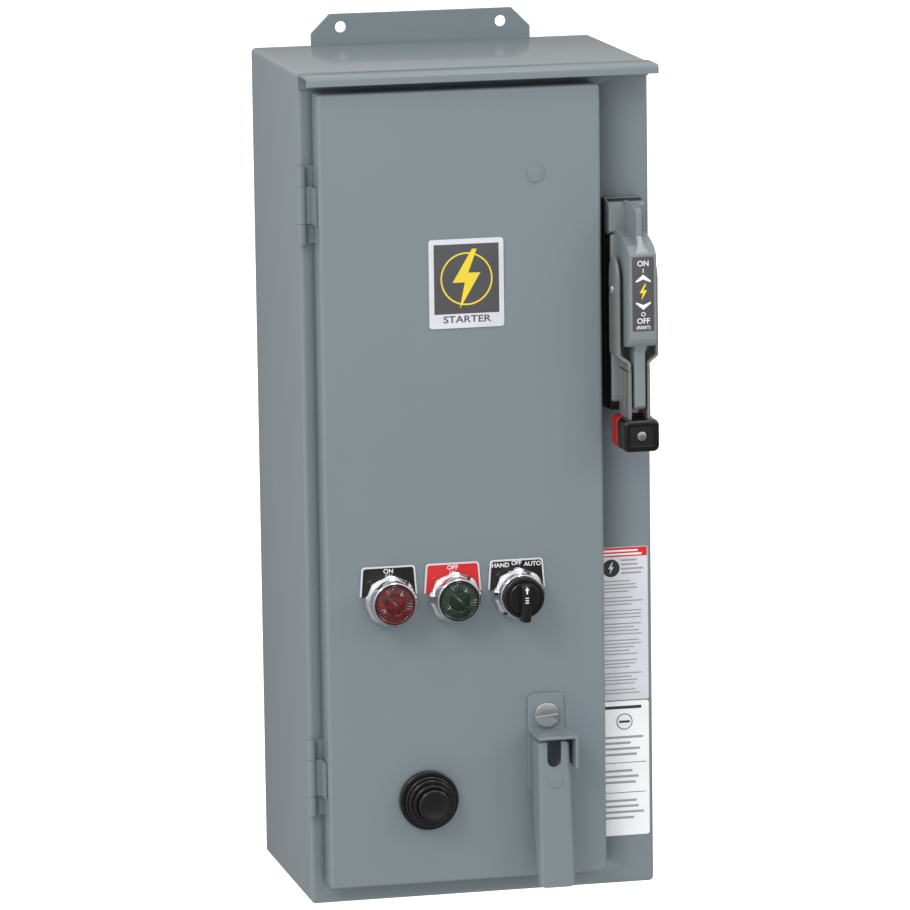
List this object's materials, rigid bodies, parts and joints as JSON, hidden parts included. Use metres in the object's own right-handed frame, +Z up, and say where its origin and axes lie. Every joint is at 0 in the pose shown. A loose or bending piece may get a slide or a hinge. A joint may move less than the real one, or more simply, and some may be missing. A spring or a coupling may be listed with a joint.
{
  "type": "enclosed combination magnetic motor starter",
  "caption": "Grey sheet-steel wall enclosure with a hinged latched door, pilot lights, a selector, a reset button and a flange-mounted disconnect handle over the starter inside.",
  "frame": {"origin": "on the wall plane, midway between the two holes of the upper mounting bracket", "axes": "+X to the right, +Y into the wall (the door faces -Y), +Z up"},
  "size_m": [0.2785, 0.2573, 0.7],
  "materials": {
    "enclosure_paint": "semi-gloss grey enamel",
    "handle_paint": "semi-gloss grey enamel on a casting",
    "zinc_plate": "bright zinc plate",
    "chrome": "polished chrome plate",
    "gloss_black": "glossy black moulding",
    "grey_moulding": "matt grey moulding",
    "red_moulding": "red moulding",
    "red_lens": "faceted red lens",
    "green_lens": "faceted green lens",
    "black_plate": "black enamelled plate with a white edge",
    "red_plate": "red enamelled plate with a white edge",
    "emblem_face": "white plate with a dark printed field",
    "gasket_rubber": "closed-cell foam rubber",
    "white_paint": "white enamel",
    "white_moulding": "off-white moulding",
    "copper": "lacquered copper",
    "steel_core": "laminated steel core with black varnish",
    "lead_jacket": "black insulation"
  },
  "bodies": {
    "enclosure": {"enclosure_body": "enclosure_paint", "drip_hood": "enclosure_paint", "component_panel": "white_paint", "latch_keeper": "zinc_plate", "handle_base": "handle_paint", "upper_mounting_bracket": "enclosure_paint", "lower_mounting_bracket": "enclosure_paint", "upper_hinge_frame_leaf": "enclosure_paint", "upper_hinge_pin": "zinc_plate", "lower_hinge_frame_leaf": "enclosure_paint", "lower_hinge_pin": "zinc_plate", "breaker_case": "gloss_black", "operator_guide": "zinc_plate", "contactor_base": "grey_moulding", "contactor_coil": "copper", "contactor_cover": "gloss_black", "overload_relay": "gloss_black", "control_transformer": "steel_core", "fuse_block": "grey_moulding", "terminal_block": "white_moulding", "ground_bar": "copper", "power_lead_left": "lead_jacket", "power_lead_middle": "lead_jacket", "power_lead_right": "lead_jacket"},
    "door": {"door_pan": "enclosure_paint", "door_gasket": "gasket_rubber", "emblem_plate": "emblem_face", "hole_plug": "enclosure_paint", "latch_plate": "enclosure_paint", "reset_bezel": "gloss_black", "upper_hinge_door_leaf": "enclosure_paint", "lower_hinge_door_leaf": "enclosure_paint", "on_legend_plate": "black_plate", "off_legend_plate": "red_plate", "selector_legend_plate": "black_plate", "on_ring_nut": "chrome", "off_ring_nut": "chrome", "selector_ring_nut": "chrome", "red_pilot_lens": "red_lens", "green_pilot_lens": "green_lens", "red_pilot_socket": "grey_moulding", "green_pilot_socket": "grey_moulding", "selector_switch_block": "grey_moulding"},
    "latch": {"latch_handle": "enclosure_paint", "latch_shaft": "zinc_plate", "latch_pawl": "zinc_plate"},
    "interlock": {"interlock_screw": "zinc_plate"},
    "selector": {"selector_knob": "gloss_black"},
    "reset": {"reset_button": "gloss_black"},
    "lever": {"lever_fork": "handle_paint", "lever_pivot_pin": "zinc_plate", "lever_grip": "gloss_black", "grip_backing": "red_moulding", "grip_screw": "zinc_plate"},
    "slide": {"operator_slide": "zinc_plate"},
    "toggle": {"breaker_toggle": "gloss_black"},
    "carrier": {"contactor_carrier": "grey_moulding"},
    "plunger": {"overload_plunger": "red_moulding"}
  },
  "joints": [
    {"name": "door_hinge", "type": "hinge", "parent": "enclosure", "child": "door", "pos_m": [-0.137, -0.1891, -0.34], "axis": [0, 0, -1], "range_deg": [0, 110]},
    {"name": "latch_turn", "type": "hinge", "parent": "door", "child": "latch", "pos_m": [0.0443, -0.22, -0.565], "axis": [0, -1, 0], "range_deg": [0, 60]},
    {"name": "interlock_screw_turn", "type": "hinge", "parent": "door", "child": "interlock", "pos_m": [0.0443, -0.215, -0.5185], "axis": [0, -1, 0], "range_deg": [0, 90]},
    {"name": "selector_turn", "type": "hinge", "parent": "door", "child": "selector", "pos_m": [0.0224, -0.235, -0.4205], "axis": [0, 1, 0], "range_deg": [-45, 45]},
    {"name": "reset_press", "type": "slide", "parent": "door", "child": "reset", "axis": [0, 1, 0], "range_m": [0, 0.0055], "stiffness_N_per_m": 300, "springref_m": -0.003},
    {"name": "plunger_press", "type": "slide", "parent": "enclosure", "child": "plunger", "axis": [0, 1, 0], "range_m": [0, 0.0055]},
    {"name": "disconnect_lever", "type": "hinge", "parent": "enclosure", "child": "lever", "pos_m": [0.1145, -0.2223, -0.186], "axis": [-1, 0, 0], "range_deg": [0, 150]},
    {"name": "operator_slide_lift", "type": "slide", "parent": "enclosure", "child": "slide", "axis": [0, 0, 1], "range_m": [0, 0.01994]},
    {"name": "toggle_throw", "type": "hinge", "parent": "enclosure", "child": "toggle", "pos_m": [0.0485, -0.0916, -0.186], "axis": [-1, 0, 0], "range_deg": [0, 40.1]},
    {"name": "contactor_pull_in", "type": "slide", "parent": "enclosure", "child": "carrier", "axis": [0, 1, 0], "range_m": [0, 0.005], "stiffness_N_per_m": 400, "springref_m": -0.003}
  ],
  "couplings": [
    {"joint": "plunger_press", "follows": "reset_press", "ratio": 1},
    {"joint": "operator_slide_lift", "follows": "disconnect_lever", "m_per_rad": 0.0075772},
    {"joint": "toggle_throw", "follows": "disconnect_lever", "ratio": 0.26667}
  ]
}
